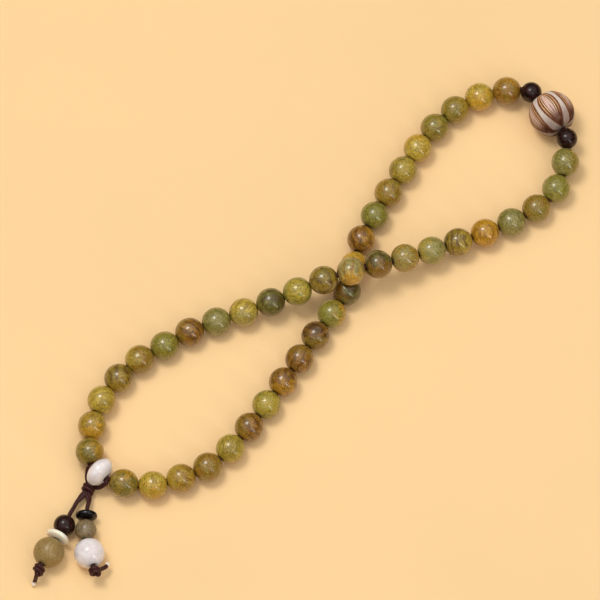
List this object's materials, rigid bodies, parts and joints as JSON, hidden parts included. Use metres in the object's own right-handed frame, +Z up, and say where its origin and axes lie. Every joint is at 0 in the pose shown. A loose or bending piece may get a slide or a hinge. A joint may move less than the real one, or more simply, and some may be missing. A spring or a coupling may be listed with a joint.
{
  "type": "misbaha prayer beads",
  "caption": "Closed strand of equal green wood beads laid as a figure eight, with a carved lotus bead, a quartz guru bead and a knotted two-leg pendant of mixed beads on waxed cord.",
  "frame": {"origin": "on the table, under the middle of the box of the strand and pendant beads", "axes": "+X along the figure eight, from the pendant to the carved lotus bead; +Y across it; +Z up from the table"},
  "size_m": [0.2086, 0.0544, 0.0155],
  "materials": {
    "green_wood": "polished, oiled green sandalwood with darker streaks",
    "matte_green_wood": "sanded, matte, fibrous",
    "dark_wood": "polished dark rosewood",
    "carved_seed": "smooth pale bodhi seed with burnt brown carving",
    "milky_quartz": "polished, translucent, milky",
    "white_shell": "polished cream-white shell",
    "black_stone": "polished black",
    "olive_stone": "smooth olive-brown, slightly cloudy",
    "waxed_cord": "waxed dark maroon-brown round leather cord"
  },
  "bodies": {
    "near_strand": {"strand_cord_near": "waxed_cord"},
    "fold_link": {"strand_cord_link": "waxed_cord"},
    "far_strand": {"strand_cord_far": "waxed_cord"},
    "yoke": {"yoke_cord": "waxed_cord"},
    "left_leg": {"left_leg_cord": "waxed_cord"},
    "right_leg": {"right_leg_cord": "waxed_cord"},
    "wood_bead_01": {"wood_bead_01": "green_wood"},
    "wood_bead_02": {"wood_bead_02": "green_wood"},
    "wood_bead_03": {"wood_bead_03": "green_wood"},
    "wood_bead_04": {"wood_bead_04": "green_wood"},
    "wood_bead_05": {"wood_bead_05": "green_wood"},
    "wood_bead_06": {"wood_bead_06": "green_wood"},
    "wood_bead_07": {"wood_bead_07": "green_wood"},
    "wood_bead_08": {"wood_bead_08": "green_wood"},
    "wood_bead_09": {"wood_bead_09": "green_wood"},
    "wood_bead_10": {"wood_bead_10": "green_wood"},
    "wood_bead_11": {"wood_bead_11": "green_wood"},
    "wood_bead_12": {"wood_bead_12": "green_wood"},
    "wood_bead_13": {"wood_bead_13": "green_wood"},
    "wood_bead_14": {"wood_bead_14": "green_wood"},
    "wood_bead_15": {"wood_bead_15": "green_wood"},
    "wood_bead_16": {"wood_bead_16": "green_wood"},
    "wood_bead_17": {"wood_bead_17": "green_wood"},
    "wood_bead_18": {"wood_bead_18": "green_wood"},
    "wood_bead_19": {"wood_bead_19": "green_wood"},
    "wood_bead_20": {"wood_bead_20": "green_wood"},
    "wood_bead_21": {"wood_bead_21": "green_wood"},
    "wood_bead_22": {"wood_bead_22": "green_wood"},
    "wood_bead_23": {"wood_bead_23": "green_wood"},
    "wood_bead_24": {"wood_bead_24": "green_wood"},
    "wood_bead_25": {"wood_bead_25": "green_wood"},
    "wood_bead_26": {"wood_bead_26": "green_wood"},
    "wood_bead_27": {"wood_bead_27": "green_wood"},
    "wood_bead_28": {"wood_bead_28": "green_wood"},
    "wood_bead_29": {"wood_bead_29": "green_wood"},
    "wood_bead_30": {"wood_bead_30": "green_wood"},
    "wood_bead_31": {"wood_bead_31": "green_wood"},
    "wood_bead_32": {"wood_bead_32": "green_wood"},
    "wood_bead_33": {"wood_bead_33": "green_wood"},
    "wood_bead_34": {"wood_bead_34": "green_wood"},
    "wood_bead_35": {"wood_bead_35": "green_wood"},
    "wood_bead_36": {"wood_bead_36": "green_wood"},
    "wood_bead_37": {"wood_bead_37": "green_wood"},
    "wood_bead_38": {"wood_bead_38": "green_wood"},
    "wood_bead_39": {"wood_bead_39": "green_wood"},
    "wood_bead_40": {"wood_bead_40": "green_wood"},
    "wood_bead_41": {"wood_bead_41": "green_wood"},
    "wood_bead_42": {"wood_bead_42": "green_wood"},
    "wood_bead_43": {"wood_bead_43": "green_wood"},
    "wood_bead_44": {"wood_bead_44": "green_wood"},
    "spacer_bead_right": {"spacer_bead_right": "dark_wood"},
    "lotus_bead": {"lotus_bead": "carved_seed"},
    "spacer_bead_left": {"spacer_bead_left": "dark_wood"},
    "guru_bead": {"guru_bead": "milky_quartz"},
    "pendant_rosewood_bead": {"pendant_rosewood_bead": "dark_wood"},
    "pendant_shell_disc": {"pendant_shell_disc": "white_shell"},
    "pendant_green_bead": {"pendant_green_bead": "matte_green_wood"},
    "pendant_black_rondelle": {"pendant_black_rondelle": "black_stone"},
    "pendant_olive_bead": {"pendant_olive_bead": "olive_stone"},
    "pendant_quartz_bead": {"pendant_quartz_bead": "milky_quartz"}
  },
  "joints": [
    {"name": "fold_first", "type": "hinge", "parent": "near_strand", "child": "fold_link", "pos_m": [0.02247, -0.00382, 0.01114], "axis": [-0.3719, -0.644, 0.6685], "range_deg": [0, 20]},
    {"name": "fold_second", "type": "hinge", "parent": "fold_link", "child": "far_strand", "pos_m": [0.02976, -0.00715, 0.00899], "axis": [-0.2753, -0.9035, 0.3286], "range_deg": [0, 20]},
    {"name": "hanger_swing", "type": "hinge", "parent": "near_strand", "child": "yoke", "pos_m": [-0.07159, 0.00618, 0.006], "axis": [-0.0313, 0.9995, -0.0095], "range_deg": [0, 90]},
    {"name": "leg_left_swing", "type": "hinge", "parent": "yoke", "child": "left_leg", "pos_m": [-0.07639, 0.00598, 0.0019], "axis": [0, 0, -1], "range_deg": [0, 45]},
    {"name": "leg_right_swing", "type": "hinge", "parent": "yoke", "child": "right_leg", "pos_m": [-0.07639, 0.00598, 0.0019], "axis": [0, 0, 1], "range_deg": [0, 45]},
    {"name": "spin_wood_bead_01", "type": "hinge", "parent": "near_strand", "child": "wood_bead_01", "pos_m": [-0.06897, 0.01284, 0.00447], "axis": [0.6074, 0.7736, -0.1804], "continuous": true},
    {"name": "spin_wood_bead_02", "type": "hinge", "parent": "near_strand", "child": "wood_bead_02", "pos_m": [-0.06293, 0.01814, 0.004], "axis": [0.8404, 0.5419, -0.0086], "continuous": true},
    {"name": "spin_wood_bead_03", "type": "hinge", "parent": "near_strand", "child": "wood_bead_03", "pos_m": [-0.05573, 0.0218, 0.004], "axis": [0.9509, 0.3093, 0.0074], "continuous": true},
    {"name": "spin_wood_bead_04", "type": "hinge", "parent": "near_strand", "child": "wood_bead_04", "pos_m": [-0.04777, 0.0232, 0.004], "axis": [0.9972, 0.0753, 0], "continuous": true},
    {"name": "spin_wood_bead_05", "type": "hinge", "parent": "near_strand", "child": "wood_bead_05", "pos_m": [-0.03969, 0.02312, 0.004], "axis": [0.9882, -0.1533, 0], "continuous": true},
    {"name": "spin_wood_bead_06", "type": "hinge", "parent": "near_strand", "child": "wood_bead_06", "pos_m": [-0.03185, 0.02112, 0.004], "axis": [0.9663, -0.2572, -0.0008], "continuous": true},
    {"name": "spin_wood_bead_07", "type": "hinge", "parent": "near_strand", "child": "wood_bead_07", "pos_m": [-0.02399, 0.01914, 0.004], "axis": [0.9525, -0.3046, -0.003], "continuous": true},
    {"name": "spin_wood_bead_08", "type": "hinge", "parent": "near_strand", "child": "wood_bead_08", "pos_m": [-0.01651, 0.01606, 0.00406], "axis": [0.9045, -0.4259, 0.0227], "continuous": true},
    {"name": "spin_wood_bead_09", "type": "hinge", "parent": "near_strand", "child": "wood_bead_09", "pos_m": [-0.00925, 0.01251, 0.00455], "axis": [0.8892, -0.4456, 0.1037], "continuous": true},
    {"name": "spin_wood_bead_10", "type": "hinge", "parent": "near_strand", "child": "wood_bead_10", "pos_m": [-0.00208, 0.00896, 0.00579], "axis": [0.8765, -0.4396, 0.196], "continuous": true},
    {"name": "spin_wood_bead_11", "type": "hinge", "parent": "near_strand", "child": "wood_bead_11", "pos_m": [0.00495, 0.00541, 0.00767], "axis": [0.8557, -0.4258, 0.2941], "continuous": true},
    {"name": "spin_wood_bead_12", "type": "hinge", "parent": "near_strand", "child": "wood_bead_12", "pos_m": [0.01184, 0.00194, 0.01013], "axis": [0.8388, -0.4615, 0.2888], "continuous": true},
    {"name": "spin_wood_bead_13", "type": "hinge", "parent": "near_strand", "child": "wood_bead_13", "pos_m": [0.01875, -0.002, 0.01149], "axis": [0.8857, -0.4637, -0.0205], "continuous": true},
    {"name": "spin_wood_bead_14", "type": "hinge", "parent": "fold_link", "child": "wood_bead_14", "pos_m": [0.02612, -0.00542, 0.00995], "axis": [0.8785, -0.4013, -0.2592], "continuous": true},
    {"name": "spin_wood_bead_15", "type": "hinge", "parent": "far_strand", "child": "wood_bead_15", "pos_m": [0.03342, -0.00883, 0.008], "axis": [0.8867, -0.401, -0.2299], "continuous": true},
    {"name": "spin_wood_bead_16", "type": "hinge", "parent": "far_strand", "child": "wood_bead_16", "pos_m": [0.04087, -0.01204, 0.00634], "axis": [0.9085, -0.3766, -0.181], "continuous": true},
    {"name": "spin_wood_bead_17", "type": "hinge", "parent": "far_strand", "child": "wood_bead_17", "pos_m": [0.04845, -0.01514, 0.00506], "axis": [0.9164, -0.3814, -0.1213], "continuous": true},
    {"name": "spin_wood_bead_18", "type": "hinge", "parent": "far_strand", "child": "wood_bead_18", "pos_m": [0.05606, -0.01831, 0.00433], "axis": [0.9248, -0.3757, -0.0596], "continuous": true},
    {"name": "spin_wood_bead_19", "type": "hinge", "parent": "far_strand", "child": "wood_bead_19", "pos_m": [0.06384, -0.02115, 0.00401], "axis": [0.9461, -0.3232, -0.0206], "continuous": true},
    {"name": "spin_wood_bead_20", "type": "hinge", "parent": "far_strand", "child": "wood_bead_20", "pos_m": [0.07185, -0.0232, 0.004], "axis": [0.9879, -0.1536, 0.0211], "continuous": true},
    {"name": "spin_wood_bead_21", "type": "hinge", "parent": "far_strand", "child": "wood_bead_21", "pos_m": [0.08009, -0.02302, 0.00443], "axis": [0.969, 0.2315, 0.0861], "continuous": true},
    {"name": "spin_wood_bead_22", "type": "hinge", "parent": "far_strand", "child": "wood_bead_22", "pos_m": [0.08747, -0.0195, 0.00535], "axis": [0.8316, 0.5378, 0.1384], "continuous": true},
    {"name": "spin_wood_bead_23", "type": "hinge", "parent": "far_strand", "child": "wood_bead_23", "pos_m": [0.0921, 0.00806, 0.00465], "axis": [-0.7291, 0.6649, -0.1621], "continuous": true},
    {"name": "spin_wood_bead_24", "type": "hinge", "parent": "far_strand", "child": "wood_bead_24", "pos_m": [0.08539, 0.01247, 0.00402], "axis": [-0.9198, 0.3916, -0.024], "continuous": true},
    {"name": "spin_wood_bead_25", "type": "hinge", "parent": "far_strand", "child": "wood_bead_25", "pos_m": [0.07759, 0.01453, 0.004], "axis": [-0.9924, 0.1229, 0.0087], "continuous": true},
    {"name": "spin_wood_bead_26", "type": "hinge", "parent": "far_strand", "child": "wood_bead_26", "pos_m": [0.0695, 0.01475, 0.004], "axis": [-0.9973, -0.0737, 0.0003], "continuous": true},
    {"name": "spin_wood_bead_27", "type": "hinge", "parent": "far_strand", "child": "wood_bead_27", "pos_m": [0.06149, 0.01362, 0.004], "axis": [-0.9786, -0.2058, 0], "continuous": true},
    {"name": "spin_wood_bead_28", "type": "hinge", "parent": "far_strand", "child": "wood_bead_28", "pos_m": [0.05362, 0.01173, 0.004], "axis": [-0.9692, -0.2463, 0], "continuous": true},
    {"name": "spin_wood_bead_29", "type": "hinge", "parent": "far_strand", "child": "wood_bead_29", "pos_m": [0.04576, 0.00976, 0.004], "axis": [-0.9669, -0.2552, 0], "continuous": true},
    {"name": "spin_wood_bead_30", "type": "hinge", "parent": "far_strand", "child": "wood_bead_30", "pos_m": [0.03797, 0.00755, 0.004], "axis": [-0.9648, -0.263, 0], "continuous": true},
    {"name": "spin_wood_bead_31", "type": "hinge", "parent": "fold_link", "child": "wood_bead_31", "pos_m": [0.03008, 0.00503, 0.004], "axis": [-0.9058, -0.4237, 0], "continuous": true},
    {"name": "spin_wood_bead_32", "type": "hinge", "parent": "near_strand", "child": "wood_bead_32", "pos_m": [0.02302, 0.00073, 0.004], "axis": [-0.8312, -0.5559, 0], "continuous": true},
    {"name": "spin_wood_bead_33", "type": "hinge", "parent": "near_strand", "child": "wood_bead_33", "pos_m": [0.01595, -0.00318, 0.004], "axis": [-0.9313, -0.3642, 0], "continuous": true},
    {"name": "spin_wood_bead_34", "type": "hinge", "parent": "near_strand", "child": "wood_bead_34", "pos_m": [0.00809, -0.00509, 0.004], "axis": [-0.9844, -0.1758, 0], "continuous": true},
    {"name": "spin_wood_bead_35", "type": "hinge", "parent": "near_strand", "child": "wood_bead_35", "pos_m": [0.00014, -0.0066, 0.004], "axis": [-0.9809, -0.1947, 0], "continuous": true},
    {"name": "spin_wood_bead_36", "type": "hinge", "parent": "near_strand", "child": "wood_bead_36", "pos_m": [-0.00796, -0.00836, 0.004], "axis": [-0.9776, -0.2104, 0], "continuous": true},
    {"name": "spin_wood_bead_37", "type": "hinge", "parent": "near_strand", "child": "wood_bead_37", "pos_m": [-0.01608, -0.01002, 0.004], "axis": [-0.9801, -0.1983, 0], "continuous": true},
    {"name": "spin_wood_bead_38", "type": "hinge", "parent": "near_strand", "child": "wood_bead_38", "pos_m": [-0.02421, -0.0116, 0.004], "axis": [-0.9834, -0.1815, 0], "continuous": true},
    {"name": "spin_wood_bead_39", "type": "hinge", "parent": "near_strand", "child": "wood_bead_39", "pos_m": [-0.03238, -0.01294, 0.004], "axis": [-0.9882, -0.1531, 0], "continuous": true},
    {"name": "spin_wood_bead_40", "type": "hinge", "parent": "near_strand", "child": "wood_bead_40", "pos_m": [-0.04061, -0.01384, 0.004], "axis": [-0.9988, -0.0496, 0], "continuous": true},
    {"name": "spin_wood_bead_41", "type": "hinge", "parent": "near_strand", "child": "wood_bead_41", "pos_m": [-0.04886, -0.01326, 0.004], "axis": [-0.9763, 0.2165, 0], "continuous": true},
    {"name": "spin_wood_bead_42", "type": "hinge", "parent": "near_strand", "child": "wood_bead_42", "pos_m": [-0.05642, -0.01041, 0.004], "axis": [-0.9074, 0.4202, -0.009], "continuous": true},
    {"name": "spin_wood_bead_43", "type": "hinge", "parent": "near_strand", "child": "wood_bead_43", "pos_m": [-0.06345, -0.00643, 0.004], "axis": [-0.7937, 0.6081, 0.0189], "continuous": true},
    {"name": "spin_wood_bead_44", "type": "hinge", "parent": "near_strand", "child": "wood_bead_44", "pos_m": [-0.06883, -0.00046, 0.00457], "axis": [-0.5608, 0.808, 0.1807], "continuous": true},
    {"name": "spin_spacer_bead_right", "type": "hinge", "parent": "far_strand", "child": "spacer_bead_right", "pos_m": [0.0928, -0.01494, 0.00631], "axis": [0.5432, 0.8334, 0.1021], "continuous": true},
    {"name": "spin_lotus_bead", "type": "hinge", "parent": "far_strand", "child": "lotus_bead", "pos_m": [0.09528, -0.00653, 0.00653], "axis": [0.199, 0.98, -0.006], "continuous": true},
    {"name": "spin_spacer_bead_left", "type": "hinge", "parent": "far_strand", "child": "spacer_bead_left", "pos_m": [0.09612, 0.00232, 0.00612], "axis": [-0.2336, 0.9583, -0.1646], "continuous": true},
    {"name": "spin_guru_bead", "type": "hinge", "parent": "near_strand", "child": "guru_bead", "pos_m": [-0.07159, 0.00618, 0.006], "axis": [-0.0313, 0.9995, -0.0095], "continuous": true},
    {"name": "spin_pendant_rosewood_bead", "type": "hinge", "parent": "left_leg", "child": "pendant_rosewood_bead", "pos_m": [-0.08874, 0.00261, 0.00318], "axis": [-0.9397, -0.3209, 0.1184], "continuous": true},
    {"name": "spin_pendant_shell_disc", "type": "hinge", "parent": "left_leg", "child": "pendant_shell_disc", "pos_m": [-0.09255, 0.00131, 0.00366], "axis": [-0.9397, -0.3209, 0.1184], "continuous": true},
    {"name": "spin_pendant_green_bead", "type": "hinge", "parent": "left_leg", "child": "pendant_green_bead", "pos_m": [-0.09753, -0.00039, 0.00429], "axis": [-0.9397, -0.3209, 0.1184], "continuous": true},
    {"name": "spin_pendant_black_rondelle", "type": "hinge", "parent": "right_leg", "child": "pendant_black_rondelle", "pos_m": [-0.08243, 0.00038, 0.00305], "axis": [-0.7236, -0.6886, 0.0467], "continuous": true},
    {"name": "spin_pendant_olive_bead", "type": "hinge", "parent": "right_leg", "child": "pendant_olive_bead", "pos_m": [-0.08554, -0.00258, 0.00325], "axis": [-0.7236, -0.6886, 0.0467], "continuous": true},
    {"name": "spin_pendant_quartz_bead", "type": "hinge", "parent": "right_leg", "child": "pendant_quartz_bead", "pos_m": [-0.08985, -0.00851, 0.00428], "axis": [-0.4684, -0.8604, 0.2008], "continuous": true}
  ],
  "couplings": [
    {"joint": "fold_second", "follows": "fold_first", "ratio": 1}
  ]
}
